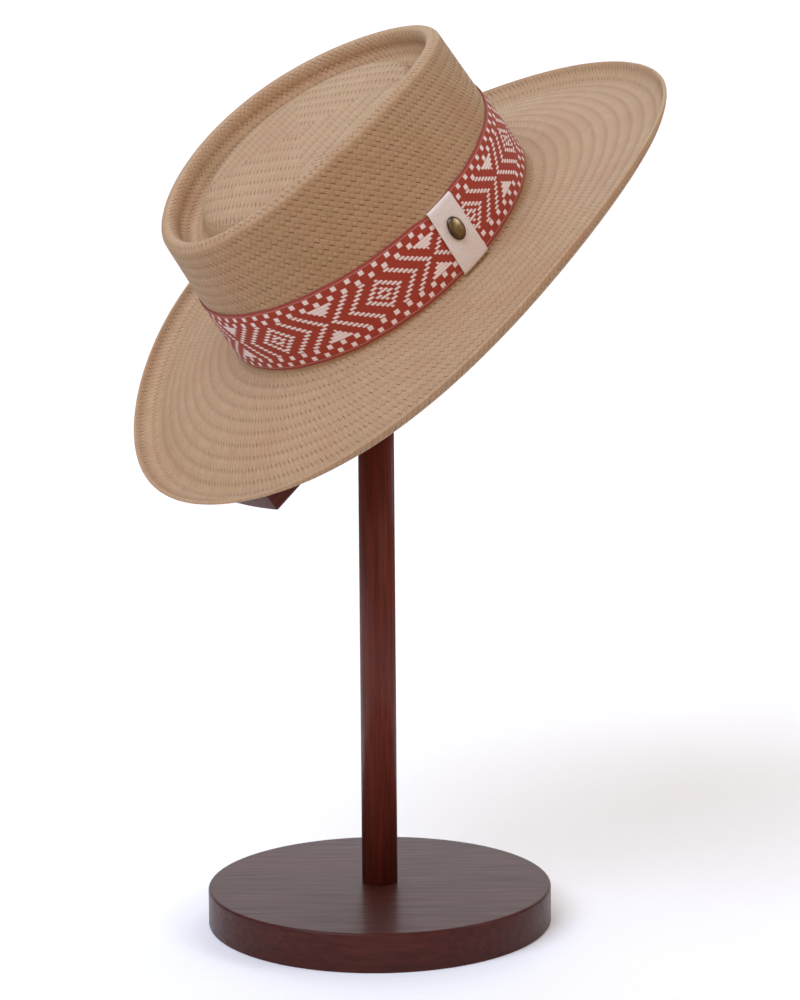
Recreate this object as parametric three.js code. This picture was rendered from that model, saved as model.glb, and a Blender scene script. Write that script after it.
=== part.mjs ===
// A straw gambler hat hanging on its wooden display stand.
//
// Millimetres, +Z up. The origin is the centre of the stand's foot, on the
// floor. The hat is drawn in a frame of its own (x to the front of the hat,
// y to the wearer's left, z up through the crown, origin in the middle of the
// head opening, level with the brim) and is then tilted as one group.

import * as THREE from 'three';

// ---------------------------------------------------------------- sizes

const GAP = 0.3; // clearance between two pieces that touch

// How the hat hangs on the stand.
const HAT_PLACE = [4.2, 2.4, 386];
const HAT_TURN_DEG = [31.1, -28.9, 230.2];

// The woven capeline: one wall of straw, crown and brim together.
const STRAW = 2.0;
const ROUND = 64; // facets round the hat

// Crown side, from the rim down to the brim: ovals with half-axes a (front to
// back) and b (side to side), their centre, and the squareness of the oval.
const RIM = { x: 1.6, y: -1.4, a: 95.4, b: 77.2, square: 2.0, z: 88.2 };
const RIM_RADIUS = 4.4;
const BAND_TOP = { x: 0, y: -2.4, a: 101.8, b: 86.7, square: 2.0, z: 44.4 };
const BAND_FOOT = { x: 0, y: 1.2, a: 102, b: 87, square: 2.12, z: 5.3 };
const CROWN_FOOT = { x: 0, y: 1.2, a: 102, b: 87, square: 2.12, z: 1.6 };

// The sunk top, from its middle out to the rim: half-axes, height, and how
// much of the rim's rise and fall each ring follows.
const TOP_RINGS = [
  [21, 16.5, 88.6, 0],
  [42, 33.5, 87.9, 0.1],
  [59, 47.5, 86.8, 0.25],
  [68, 54.8, 85.6, 0.35],
  [73, 58.6, 83.6, 0.42],
  [76, 60.9, 80, 0.47],
  [78.6, 62.7, 77, 0.52],
  [82, 64.9, 75.9, 0.6],
  [85.6, 67.3, 76.9, 0.7],
  [88.6, 69.9, 79.6, 0.82],
  [90.5, 72, 83.6, 0.92],
];
const TOP_MIDDLE = 88.9;

// Brim: its edge, and the strip along the edge that curls up.
const EDGE = { x: -4.7, y: 0, a: 190.3, b: 169.8, square: 2.0, z: -3.1 };
const CURL_LENGTH = 15;
const CURL_END_DEG = { ends: 50, sides: 80 };
const CURL_STEPS = 5;
const BRIM_STEPS = 5;
const BRIM_BOW = 1.4; // 1 is a straight cone; more leaves the crown flatter

// Ribbon band, its tab and the stud.
const RIBBON = 0.8;
const TAB_ANGLE_DEG = 83.3;
const TAB_WIDTH = 20;
const TAB_CLOTH = 0.6;
const STUD = { width: 9.8, height: 14, dome: 2.6, rim: 0.8, share: 0.56 };

// Stand.
const BASE_RADIUS = 100;
const BASE_HEIGHT = 21.5;
const BASE_EDGE = 2;
const POST_RADIUS = 10.4;
// The board lies under the brim, nearly square to the hat, its middle over
// the post, so that its front end carries the dip of the brim.
const BOARD = { length: 226, width: 53, thick: 25, bottom: -45, endRadius: 300 };
const BOARD_TURN_DEG = -4.2;
const PEG_RADIUS = 9;

// ---------------------------------------------------------------- helpers

const rad = THREE.MathUtils.degToRad;
const mix = THREE.MathUtils.lerp;

function finish(name, geometry, color, roughness, metalness = 0) {
  const material = new THREE.MeshStandardMaterial({ color, roughness, metalness });
  const mesh = new THREE.Mesh(geometry, material);
  mesh.name = name;
  return mesh;
}

// One point of an oval, at height z.
function ovalPoint(oval, angle, z) {
  const power = 2 / oval.square;
  const c = Math.cos(angle);
  const s = Math.sin(angle);
  return new THREE.Vector3(
    oval.x + oval.a * Math.sign(c) * Math.abs(c) ** power,
    oval.y + oval.b * Math.sign(s) * Math.abs(s) ** power,
    z,
  );
}

// The direction straight out of an oval, level with the brim.
function outOf(oval, angle) {
  const step = 1e-3;
  const along = ovalPoint(oval, angle + step, 0).sub(ovalPoint(oval, angle - step, 0));
  return new THREE.Vector3(along.y, -along.x, 0).normalize();
}

function blend(from, to, share) {
  const mixed = {};
  for (const key of ['x', 'y', 'a', 'b', 'square']) mixed[key] = mix(from[key], to[key], share);
  return mixed;
}

function angles(count) {
  return Array.from({ length: count }, (_, i) => (i / count) * 2 * Math.PI);
}

// A closed body from rings of points: each ring is joined to the next, and
// the first and last rings are either single points or joined to each other.
function bodyOfRings(rings, closed) {
  const points = [];
  const faces = [];
  const starts = rings.map((ring) => {
    const start = points.length / 3;
    ring.forEach((p) => points.push(p.x, p.y, p.z));
    return start;
  });
  const count = Math.max(...rings.map((ring) => ring.length));
  const last = closed ? rings.length : rings.length - 1;
  for (let r = 0; r < last; r += 1) {
    const next = (r + 1) % rings.length;
    for (let i = 0; i < count; i += 1) {
      const j = (i + 1) % count;
      const [p, q] = rings[r].length === 1 ? [starts[r], starts[r]] : [starts[r] + i, starts[r] + j];
      const [s, t] = rings[next].length === 1 ? [starts[next], starts[next]] : [starts[next] + i, starts[next] + j];
      if (p !== q) faces.push(p, s, q);
      if (s !== t) faces.push(q, s, t);
    }
  }
  const geometry = new THREE.BufferGeometry();
  geometry.setAttribute('position', new THREE.Float32BufferAttribute(points, 3));
  geometry.setIndex(faces);
  geometry.computeVertexNormals();
  return geometry;
}

// ---------------------------------------------------------------- capeline

// The rim isn't level: it is highest at the sides and a little higher on the
// wearer's left. The band lies a little higher at the back of the head.
const rimRise = (t) => -0.6 * Math.cos(t) + 2.9 * Math.sin(t) - 4.2 * Math.cos(2 * t) + 1.4 * Math.sin(2 * t);
const bandRise = (t) => -3.0 * Math.cos(t) - 0.5 * Math.sin(t) + 1.7 * Math.cos(2 * t);
// The brim dips at front and back, and is highest on the wearer's left.
const edgeRise = (t) => -2.9 * Math.cos(t) + 8.0 * Math.sin(t) - 10.7 * Math.cos(2 * t)
  + 0.7 * Math.cos(3 * t) + 1.4 * Math.cos(4 * t);

const rimOuter = { ...RIM, a: RIM.a + RIM_RADIUS, b: RIM.b + RIM_RADIUS };
const BRIM_START = { ...CROWN_FOOT, a: CROWN_FOOT.a + CROWN_FOOT.z, b: CROWN_FOOT.b + CROWN_FOOT.z };

// The curl along the edge: an arc that starts level and ends at curlEnd.
const curlEnd = (t) => rad(mix(CURL_END_DEG.ends, CURL_END_DEG.sides, Math.sin(t) ** 2));

function brimPoint(angle, share) {
  const end = curlEnd(angle);
  const radius = CURL_LENGTH / end;
  const out = outOf(EDGE, angle);
  const start = ovalPoint(EDGE, angle, EDGE.z + edgeRise(angle) - radius * (1 - Math.cos(end)));
  start.addScaledVector(out, -radius * Math.sin(end));
  if (share > 1) {
    const turn = (share - 1) * end;
    start.addScaledVector(out, radius * Math.sin(turn));
    start.z += radius * (1 - Math.cos(turn));
    return start;
  }
  const foot = ovalPoint(BRIM_START, angle, 0);
  return new THREE.Vector3(
    mix(foot.x, start.x, share),
    mix(foot.y, start.y, share),
    start.z * share ** BRIM_BOW,
  );
}

// Every ring of the outer face, from the middle of the top to the brim's edge.
const outerRings = [];
const ring = (pointAt) => outerRings.push(angles(ROUND).map(pointAt));
for (const [a, b, z, follow] of TOP_RINGS) {
  const oval = { ...RIM, a, b };
  ring((t) => ovalPoint(oval, t, z + follow * rimRise(t)));
}
for (const turn of [0, 45, 90, 135, 180].map(rad)) {
  const reach = -RIM_RADIUS * Math.cos(turn);
  const oval = { ...RIM, a: RIM.a + reach, b: RIM.b + reach };
  ring((t) => ovalPoint(oval, t, RIM.z + rimRise(t) + RIM_RADIUS * Math.sin(turn)));
}
ring((t) => ovalPoint(blend(rimOuter, BAND_TOP, 0.5), t,
  mix(RIM.z + rimRise(t), BAND_TOP.z + bandRise(t), 0.5)));
ring((t) => ovalPoint(BAND_TOP, t, BAND_TOP.z + bandRise(t)));
ring((t) => ovalPoint(BAND_FOOT, t, BAND_FOOT.z + bandRise(t)));
ring((t) => ovalPoint(CROWN_FOOT, t, CROWN_FOOT.z));
ring((t) => ovalPoint(blend(CROWN_FOOT, BRIM_START, 0.3), t, CROWN_FOOT.z * 0.3));
for (let i = 0; i <= BRIM_STEPS; i += 1) ring((t) => brimPoint(t, i / BRIM_STEPS));
for (let i = 1; i <= CURL_STEPS; i += 1) ring((t) => brimPoint(t, 1 + i / CURL_STEPS));

// The inner face lies one straw's thickness behind the outer one.
function behind(rings, thickness) {
  return rings.map((points, r) => points.map((p, i) => {
    const before = rings[Math.max(r - 1, 0)][i];
    const after = rings[Math.min(r + 1, rings.length - 1)][i];
    const across = new THREE.Vector3().subVectors(after, before);
    const around = new THREE.Vector3().subVectors(
      points[(i + 1) % points.length],
      points[(i + points.length - 1) % points.length],
    );
    return across.cross(around).normalize().multiplyScalar(-thickness).add(p);
  }));
}

const middle = [new THREE.Vector3(RIM.x, RIM.y, TOP_MIDDLE)];
const middleBehind = [new THREE.Vector3(RIM.x, RIM.y, TOP_MIDDLE - STRAW)];
const hatBody = finish('hat_body', bodyOfRings([
  middle, ...outerRings, ...behind(outerRings, STRAW).reverse(), middleBehind,
], false), 0xb9986f, 0.8);

// ---------------------------------------------------------------- band

function bandPoint(angle, share, offset) {
  const oval = blend(BAND_FOOT, BAND_TOP, share);
  const point = ovalPoint(oval, angle, mix(BAND_FOOT.z, BAND_TOP.z, share) + bandRise(angle));
  return point.addScaledVector(outOf(oval, angle), offset);
}

const bandCorners = [[1, GAP], [1, GAP + RIBBON], [0, GAP + RIBBON], [0, GAP]];
const hatBand = finish('hat_band', bodyOfRings(
  bandCorners.map(([share, offset]) => angles(ROUND).map((t) => bandPoint(t, share, offset))),
  true,
), 0xa3402f, 0.75);

// The tab folds over both edges of the band. Its section is a C: the outside
// corners first, then back along the inside.
const tabOut = GAP + RIBBON + GAP;
const tabSection = [
  [1, GAP, GAP], [1, GAP, GAP + TAB_CLOTH], [1, tabOut + TAB_CLOTH, GAP + TAB_CLOTH],
  [0, tabOut + TAB_CLOTH, -GAP - TAB_CLOTH], [0, GAP, -GAP - TAB_CLOTH],
  [0, GAP, -GAP], [0, tabOut, -GAP], [1, tabOut, GAP],
];
const TAB_STEPS = 6;
const tabMiddle = rad(TAB_ANGLE_DEG);
const studSeat = bandPoint(tabMiddle, STUD.share, tabOut + TAB_CLOTH);
const millimetrePerRadian = bandPoint(tabMiddle + 0.01, 0.5, 0).distanceTo(bandPoint(tabMiddle, 0.5, 0)) / 0.01;
const tabHalf = TAB_WIDTH / 2 / millimetrePerRadian;

function tabGeometry() {
  const sections = [];
  for (let i = 0; i <= TAB_STEPS; i += 1) {
    const angle = tabMiddle + mix(tabHalf, -tabHalf, i / TAB_STEPS);
    sections.push(tabSection.map(([share, offset, lift]) => {
      const point = bandPoint(angle, share, offset);
      point.z += lift;
      return point;
    }));
  }
  const geometry = bodyOfRings(sections, false);
  const flat = tabSection.map(([share, offset, lift]) => new THREE.Vector2(offset, share * 39 + lift));
  const cap = THREE.ShapeUtils.triangulateShape(flat, []);
  const index = Array.from(geometry.index.array);
  const far = TAB_STEPS * tabSection.length;
  for (const [p, q, r] of cap) index.push(r, q, p, far + p, far + q, far + r);
  geometry.setIndex(index);
  geometry.computeVertexNormals();
  return geometry;
}
const bandTab = finish('band_tab', tabGeometry(), 0xe4dccd, 0.85);

// The stud: a domed button, stretched to an oval, flat at the back.
const studProfile = [[0, 0], [1, 0], [1, STUD.rim]];
for (const turn of [22.5, 45, 67.5].map(rad)) {
  studProfile.push([Math.cos(turn), STUD.rim + (STUD.dome - STUD.rim) * Math.sin(turn)]);
}
studProfile.push([0, STUD.dome]);
const studGeometry = new THREE.LatheGeometry(studProfile.map(([r, h]) => new THREE.Vector2(r, h)), 32);
studGeometry.rotateX(Math.PI / 2); // now it faces +Z
studGeometry.scale(STUD.width / 2, STUD.height / 2, 1);
const tabStud = finish('tab_stud', studGeometry, 0x6f5a40, 0.35, 0.9);
const SMALL = 0.01;
const studAlong = bandPoint(tabMiddle + SMALL, STUD.share, 0).sub(bandPoint(tabMiddle, STUD.share, 0)).normalize();
const studUp = bandPoint(tabMiddle, STUD.share + SMALL, 0).sub(bandPoint(tabMiddle, STUD.share, 0));
const studOut = new THREE.Vector3().crossVectors(studAlong, studUp).normalize();
tabStud.position.copy(studSeat).addScaledVector(studOut, GAP);
tabStud.quaternion.setFromRotationMatrix(
  new THREE.Matrix4().makeBasis(studAlong, new THREE.Vector3().crossVectors(studOut, studAlong), studOut),
);

// The hat and the wood that carries it are tilted together.
const head = new THREE.Group();
head.add(hatBody, hatBand, bandTab, tabStud);
head.position.set(...HAT_PLACE);
head.rotation.set(...HAT_TURN_DEG.map(rad), 'XYZ');
head.updateMatrixWorld(true);

// ---------------------------------------------------------------- stand

const WOOD = 0x4a2420;

function turned(profile, segments) {
  const geometry = new THREE.LatheGeometry(profile.map(([r, z]) => new THREE.Vector2(r, z)), segments);
  return geometry.rotateX(Math.PI / 2);
}

const standBase = finish('stand_base', turned([
  [0, 0], [BASE_RADIUS - BASE_EDGE / 2, 0], [BASE_RADIUS, BASE_EDGE / 2],
  [BASE_RADIUS, BASE_HEIGHT - BASE_EDGE],
  [BASE_RADIUS - BASE_EDGE * 0.3, BASE_HEIGHT - BASE_EDGE * 0.3],
  [BASE_RADIUS - BASE_EDGE, BASE_HEIGHT], [0, BASE_HEIGHT],
], 96), WOOD, 0.35);

// Height of the board's underside over a point (x, y) of the floor.
const headUp = new THREE.Vector3(0, 0, 1).transformDirection(head.matrixWorld);
function underBoard(x, y) {
  const [hx, hy, hz] = HAT_PLACE;
  return hz + (BOARD.bottom - GAP - headUp.x * (x - hx) - headUp.y * (y - hy)) / headUp.z;
}

function circle(radius, height) {
  return angles(32).map((t) => {
    const [x, y] = [radius * Math.cos(t), radius * Math.sin(t)];
    return new THREE.Vector3(x, y, height(x, y));
  });
}
const onBase = () => BASE_HEIGHT + GAP;
const standPost = finish('stand_post', bodyOfRings([
  [new THREE.Vector3(0, 0, underBoard(0, 0))],
  circle(POST_RADIUS, underBoard),
  circle(POST_RADIUS, onBase),
  [new THREE.Vector3(0, 0, onBase())],
], false), WOOD, 0.35);

// The board: straight sides, slightly bowed ends.
const postTop = head.worldToLocal(new THREE.Vector3(0, 0, underBoard(0, 0)));
const halfLength = BOARD.length / 2;
const halfWidth = BOARD.width / 2;
const bow = Math.asin(halfWidth / BOARD.endRadius);
const bowCentre = halfLength - BOARD.endRadius * Math.cos(bow);
const boardPlan = new THREE.Shape();
boardPlan.moveTo(-halfLength, -halfWidth);
boardPlan.lineTo(halfLength, -halfWidth);
boardPlan.absarc(bowCentre, 0, BOARD.endRadius, -bow, bow);
boardPlan.lineTo(-halfLength, halfWidth);
boardPlan.absarc(-bowCentre, 0, BOARD.endRadius, Math.PI - bow, Math.PI + bow);
const standBoard = finish('stand_board',
  new THREE.ExtrudeGeometry(boardPlan, { depth: BOARD.thick, bevelEnabled: false, curveSegments: 12 }),
  WOOD, 0.35);
standBoard.position.set(postTop.x, postTop.y, BOARD.bottom);
standBoard.rotation.z = rad(BOARD_TURN_DEG);

// The peg stands square on the board and ends just under the crown's top.
const pegFoot = BOARD.bottom + BOARD.thick + GAP;
const pegTop = TOP_MIDDLE - STRAW - GAP;
const pegProfile = [[0, pegFoot], [PEG_RADIUS, pegFoot]];
for (const turn of [0, 22.5, 45, 67.5].map(rad)) {
  pegProfile.push([PEG_RADIUS * Math.cos(turn), pegTop - PEG_RADIUS * (1 - Math.sin(turn))]);
}
pegProfile.push([0, pegTop]);
const standPeg = finish('stand_peg', turned(pegProfile, 32), WOOD, 0.35);
standPeg.position.set(RIM.x, RIM.y, 0);
head.add(standBoard, standPeg);

// ---------------------------------------------------------------- assembly

const part = new THREE.Group();
part.add(standBase, standPost, head);
export default part;
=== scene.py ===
# %% [markdown]
# # A woven straw gambler hat on its display stand
#
# The object is a straw hat with a sunk, telescope-shaped crown and a wide
# brim that curls up at its edge. A patterned ribbon runs round the crown, and
# a cream tab with an oval stud is folded over it. The hat hangs tilted on a
# plain stand of dark stained wood.
#
# A measured model of it is already packed. It is loaded first, because every
# new piece is made in the same place and at the same size.

# %% Load the measured model
from math import asin, copysign, cos, exp, inf, pi, radians, sin, sqrt

import bmesh
import bpy
from mathutils import Matrix, Vector


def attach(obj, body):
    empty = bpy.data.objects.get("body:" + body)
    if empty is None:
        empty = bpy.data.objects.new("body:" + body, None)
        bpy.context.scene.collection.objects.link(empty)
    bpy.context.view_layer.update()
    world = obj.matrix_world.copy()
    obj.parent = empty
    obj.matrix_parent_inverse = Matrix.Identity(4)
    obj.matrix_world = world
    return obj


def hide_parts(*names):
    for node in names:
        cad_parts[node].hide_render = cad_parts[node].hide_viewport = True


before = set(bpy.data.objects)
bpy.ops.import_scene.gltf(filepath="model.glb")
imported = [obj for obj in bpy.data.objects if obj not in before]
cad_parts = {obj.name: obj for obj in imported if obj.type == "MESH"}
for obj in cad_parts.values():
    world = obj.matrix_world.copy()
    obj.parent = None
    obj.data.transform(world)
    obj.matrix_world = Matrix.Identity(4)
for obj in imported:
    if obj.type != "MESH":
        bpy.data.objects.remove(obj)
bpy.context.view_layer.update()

print("pieces:", sorted(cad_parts))

# %% [markdown]
# ## The camera
#
# The camera stands about a metre away, a little above the middle of the
# object, and looks slightly down with a small roll. A long lens keeps the
# round foot and the hat's ovals from being stretched. Its aim and distance
# are in metres, its pitch and roll in radians.

# %% Place the camera
CAMERA_AIM = Vector((0.013585, 0, 0.245382))
CAMERA_DISTANCE = 1.05
CAMERA_PITCH = 0.076245
CAMERA_ROLL = 0.007997
LENS_MM = 65.48
SENSOR_MM = 36

look = Vector((0, cos(CAMERA_PITCH), -sin(CAMERA_PITCH)))
level = Vector((1, 0, 0))
upright = Vector((0, sin(CAMERA_PITCH), cos(CAMERA_PITCH)))
rolled_level = cos(CAMERA_ROLL) * level - sin(CAMERA_ROLL) * upright
rolled_upright = sin(CAMERA_ROLL) * level + cos(CAMERA_ROLL) * upright
turn = Matrix((rolled_level, rolled_upright, -look)).transposed().to_4x4()

camera_data = bpy.data.cameras.new("studio_camera")
camera_data.lens = LENS_MM
camera_data.sensor_width = SENSOR_MM
camera = bpy.data.objects.new("studio_camera", camera_data)
camera.matrix_world = Matrix.Translation(CAMERA_AIM - CAMERA_DISTANCE * look) @ turn
bpy.context.scene.collection.objects.link(camera)
bpy.context.scene.camera = camera
print("camera at", [round(c, 3) for c in camera.location])

# %% [markdown]
# ## Small helpers for materials
#
# Colours are written as the hex values a paint program shows. Shaders work
# with linear light, so one function turns the one into the other.
#
# A material is a tree of nodes. One function adds a node, sets it up and
# joins it to the nodes that feed it, in the order of its inputs or by name.
# Where the node is a ramp of colours, it also sets where each colour lies.

# %% Colour and node helpers
def linear(hex_colour):
    """A hex colour as the linear colour that a shader needs."""
    parts = [int(hex_colour[k:k + 2], 16) / 255 for k in (1, 3, 5)]
    return tuple(p / 12.92 if p <= 0.04045 else ((p + 0.055) / 1.055) ** 2.4 for p in parts) + (1,)


def add(tree, kind, inputs=(), operation=None, colours=(), **settings):
    """Adds one node. Each input is a number, a colour, or the node or socket that feeds it."""
    node = tree.nodes.new(kind)
    if operation:
        node.operation = operation
    for name, value in settings.items():
        setattr(node, name, value)
    sockets = [s for s in node.inputs if s.enabled]
    pairs = inputs.items() if isinstance(inputs, dict) else enumerate(inputs)
    for key, value in pairs:
        socket = node.inputs[key] if isinstance(key, str) else sockets[key]
        if isinstance(value, bpy.types.Node):
            value = next(s for s in value.outputs if s.enabled)
        if isinstance(value, bpy.types.NodeSocket):
            tree.links.new(value, socket)
        else:
            socket.default_value = value
    for k, (place, hex_colour) in enumerate(colours):
        node.color_ramp.elements[k].position = place
        node.color_ramp.elements[k].color = linear(hex_colour)
    return node


def new_material(name):
    """An empty material and its tree of nodes."""
    material = bpy.data.materials.new(name)
    material.use_nodes = True
    material.node_tree.nodes.clear()
    return material, material.node_tree


MATH, VECTOR = "ShaderNodeMath", "ShaderNodeVectorMath"
MIX, RAMP = "ShaderNodeMix", "ShaderNodeValToRGB"
RANGE, NOISE = "ShaderNodeMapRange", "ShaderNodeTexNoise"
SMOOTH = {"interpolation_type": "SMOOTHSTEP"}
print("example: wheat straw", [round(c, 3) for c in linear("#C9A87E")])

# %% [markdown]
# ## Straw
#
# A straw hat of this kind is woven in one go, as a rough hat called a
# capeline, from flat strips of palm leaf. Two sets of strips cross at a slant
# to the rings of the hat. The rising set goes over two strips and under one,
# and the falling set over one and under two. That is a twill. The capeline is
# then wetted, pressed hot on a block and sized, which leaves it matt with a
# slight sheen.
#
# The strips could be modelled one by one, but there are thousands, and they
# stand proud by a fraction of a millimetre. So the material draws them.
#
# The pattern is worked out from the piece's own UV map, where one unit is the
# spacing of the strips round the hat, and one and a half units are a ring of
# the twill. For every point the nodes find which strip is on top, how far the
# point is from the strip's two ends, where it dives under its neighbours, and
# how near to its side. Strip ends are low and painted dark as shade, middles high and light.

# %% Straw material: find the strip on top
straw, t = new_material("palm_straw_woven")
uv = add(t, "ShaderNodeUVMap", uv_map="weave")
split = add(t, "ShaderNodeSeparateXYZ", [uv])
both = [add(t, MATH, split.outputs[:2], way) for way in ("ADD", "SUBTRACT")]
rising, falling = both
rising_index, falling_index = [add(t, MATH, [one], "FLOOR") for one in both]
rising_across, falling_across = [add(t, MATH, [one], "FRACT") for one in both]

rising_step = add(t, MATH, [rising, falling_index], "SUBTRACT")
falling_step = add(t, MATH, [falling, rising_index], "SUBTRACT")
rising_three, falling_three = [
    add(t, MATH, [step, 3.0], "FLOORED_MODULO") for step in (rising_step, falling_step)]
rising_on_top = add(t, MATH, [rising_three, 2.0], "LESS_THAN")

falling_from_near = add(t, MATH, [falling_three, 1.0], "SUBTRACT")
from_near = add(t, MIX, [rising_on_top, falling_from_near, rising_three])
length = add(t, MIX, [rising_on_top, 1.0, 2.0])
from_far = add(t, MATH, [length, from_near], "SUBTRACT")
to_end = add(t, MATH, [from_near, from_far], "MINIMUM")
across = add(t, MIX, [rising_on_top, rising_across, falling_across])
off_middle = add(t, MATH, [across, 0.5], "SUBTRACT")
off_middle_size = add(t, MATH, [off_middle], "ABSOLUTE")
to_side = add(t, MATH, [off_middle_size, 2.0], "MULTIPLY")
print("nodes that find the strip on top:", len(t.nodes))

# %% [markdown]
# Every strip is a different piece of leaf. A random number per strip and one
# per stretch that lies on top give each its own tint, and a noise that is
# stretched along the strip gives the fine ribs of the leaf.

# %% Straw material: tints and ribs
SETS_APART = 977.0  # keeps the random numbers of the two sets of strips apart

strip = add(t, MIX, [rising_on_top, rising_index, falling_index])
strip_set = add(t, MATH, [rising_on_top, SETS_APART, strip], "MULTIPLY_ADD")
travelled = add(t, MIX, [rising_on_top, falling_step, rising_step])
stretch_part = add(t, MATH, [travelled, 3.0], "DIVIDE")
stretch = add(t, MATH, [stretch_part], "FLOOR")
stretch_key = add(t, "ShaderNodeCombineXYZ", [strip_set, stretch, 0.0])
stretch_random = add(t, "ShaderNodeTexWhiteNoise", [stretch_key], noise_dimensions="2D")
strip_random = add(t, "ShaderNodeTexWhiteNoise", {"W": strip_set}, noise_dimensions="1D")

along_strip = add(t, MIX, [rising_on_top, falling, rising])
rib_along = add(t, MATH, [along_strip, 0.5], "MULTIPLY")
rib_across = add(t, MATH, [across, 7.0], "MULTIPLY")
rib_place = add(t, "ShaderNodeCombineXYZ", [rib_along, rib_across, strip_set])
ribs = add(t, NOISE, {"Vector": rib_place, "Scale": 1.0, "Detail": 2.0})

body_place = add(t, "ShaderNodeTexCoord").outputs["Object"]
patches = add(t, NOISE, {"Vector": body_place, "Scale": 26.0, "Detail": 3.0})
blotches = add(t, NOISE, {"Vector": body_place, "Scale": 60.0, "Detail": 2.0})

tint = add(t, RAMP, [stretch_random], colours=[(0, "#AE8E6B"), (1, "#B99A78")])
strip_tint = add(t, RAMP, [strip_random], colours=[(0, "#AF8F6D"), (1, "#B89974")])
leaf = add(t, MIX, [0.5, tint, strip_tint], data_type="RGBA")
rosy = add(t, RANGE, [patches, 0.48, 0.72, 0.0, 0.55], **SMOOTH)
leaf_rosy = add(t, MIX, [rosy, leaf, linear("#B18868")], data_type="RGBA")
olive = add(t, RANGE, [blotches, 0.52, 0.75, 0.0, 0.5], **SMOOTH)
leaf_olive = add(t, MIX, [olive, leaf_rosy, linear("#AC916A")], data_type="RGBA")
rib_shade = add(t, RANGE, [ribs, 0.3, 0.7, 0.9, 1.05])
leaf_ribbed = add(t, VECTOR, {0: leaf_olive, "Scale": rib_shade}, "SCALE")
print("nodes with the tints and ribs:", len(t.nodes))

# %% [markdown]
# Where a strip dives under, and along each strip's sides, the colour is
# darkened as painted shade of the small gaps between strips. The painted
# shade is stronger at the near end of each stretch than at the far end, and
# stronger for the falling set than for the rising set. It is what draws the
# dark rings on the hat.

# %% Straw material: holes, relief and shader
# The dark at strip ends and along strip sides is painted shade of the gaps between strips.
near_end = add(t, RANGE, [from_near, 0.28, 0.05, 0.0, 0.95], **SMOOTH)
far_end = add(t, RANGE, [from_far, 0.16, 0.02, 0.0, 0.2], **SMOOTH)
end_gap_shade = add(t, MATH, [near_end, far_end], "MAXIMUM")
end_shade_strength = add(t, MIX, [rising_on_top, 1.0, 0.45])
chance = add(t, RANGE, [stretch_random, 0.0, 1.0, 0.3, 1.0])
end_painted_shade = add(t, MATH, [end_gap_shade, end_shade_strength], "MULTIPLY")
end_painted_shade_random = add(t, MATH, [end_painted_shade, chance], "MULTIPLY")
side_painted_shade = add(t, RANGE, [to_side, 0.86, 1.0, 0.0, 0.14], **SMOOTH)
gap_painted_shade = add(t, MATH, [end_painted_shade_random, side_painted_shade], "MAXIMUM")
# Painted shade: the gap mask mixes dark brown into the straw colour.
colour = add(t, MIX, [gap_painted_shade, leaf_ribbed, linear("#5A4230")], data_type="RGBA")

side_fall = add(t, MATH, [to_side, 3.0], "POWER")
side_height = add(t, MATH, [side_fall, -0.45, 1.0], "MULTIPLY_ADD")
end_height = add(t, RANGE, [to_end, 0.0, 0.4, 0.25, 1.0], **SMOOTH)
strip_height = add(t, MATH, [side_height, end_height], "MULTIPLY")
rib_height = add(t, MATH, [ribs, 0.12, strip_height], "MULTIPLY_ADD")
relief = add(t, "ShaderNodeBump", {"Height": rib_height, "Strength": 0.7, "Distance": 0.0005})
shine = add(t, RANGE, [strip_height, 0.2, 1.0, 0.85, 0.58])
shader = add(t, "ShaderNodeBsdfPrincipled", {
    "Base Color": colour, "Roughness": shine, "Normal": relief, "IOR": 1.5,
    "Specular IOR Level": 0.35})
add(t, "ShaderNodeOutputMaterial", {"Surface": shader})
print("straw:", len(t.nodes), "nodes")

# %% [markdown]
# ## The shape of the hat
#
# A straw hat starts round and is pressed over an oval block. So every level
# of it is an oval: the crown's foot, the rim of the crown, the edge of the
# brim. Half-axis a runs from the middle to the front, b to the wearer's left.
# A squareness of 2 is a true oval, and a little more fills out its corners.
# Sizes are in millimetres in the hat's own frame, and one matrix places and
# tilts the finished hat.
#
# Each level also rises and falls as one goes round it. A few sines and
# cosines describe that, as they would describe a bent hoop.

# %% The hat's ovals, in millimetres
RIM = dict(x=1.6, y=-1.4, a=95.4, b=77.2, square=2.0, z=88.2)
RIM_RADIUS = 4.4
BAND_TOP = dict(x=0, y=-2.4, a=101.8, b=86.7, square=2.0, z=44.4)
BAND_FOOT = dict(x=0, y=1.2, a=102, b=87, square=2.12, z=5.3)
CROWN_FOOT = dict(x=0, y=1.2, a=102, b=87, square=2.12)
BRIM_START = dict(CROWN_FOOT, a=103.6, b=88.6)
EDGE = dict(x=-4.7, y=0, a=190.3, b=169.8, square=2.0, z=-3.1)
# a, b, z, and how much of the rim's own rise and fall the ring follows
TOP_RINGS = [
    (0, 0, 88.9, 0), (21, 16.5, 88.6, 0), (42, 33.5, 87.9, 0.1), (59, 47.5, 86.8, 0.25),
    (68, 54.8, 85.6, 0.35), (73, 58.6, 83.6, 0.42), (76, 60.9, 80, 0.47), (78.6, 62.7, 77, 0.52),
    (82, 64.9, 75.9, 0.6), (85.6, 67.3, 76.9, 0.7), (88.6, 69.9, 79.6, 0.82), (90.5, 72, 83.6, 0.92),
    (91, 72.8, 88.2, 1),
]
CURL_LENGTH = 15
CURL_END_DEG = (50, 80)  # at the ends and at the sides
BRIM_BOW = 1.4
FOOT_SPREAD, FOOT_DROP = 3, 1.6  # how late the crown's foot turns out, and how soon it falls
STRAW = 2.0  # the wall
GAP = 0.3  # between pieces that touch

HAT_FRAME = (Matrix.Translation((0.0042, 0.0024, 0.386))
             @ Matrix.Rotation(radians(31.1), 4, "X")
             @ Matrix.Rotation(radians(-28.9), 4, "Y")
             @ Matrix.Rotation(radians(230.2), 4, "Z")
             @ Matrix.Scale(0.001, 4))


def mix(one, other, share):
    """The value a share of the way from one to the other."""
    return one + (other - one) * share


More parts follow.
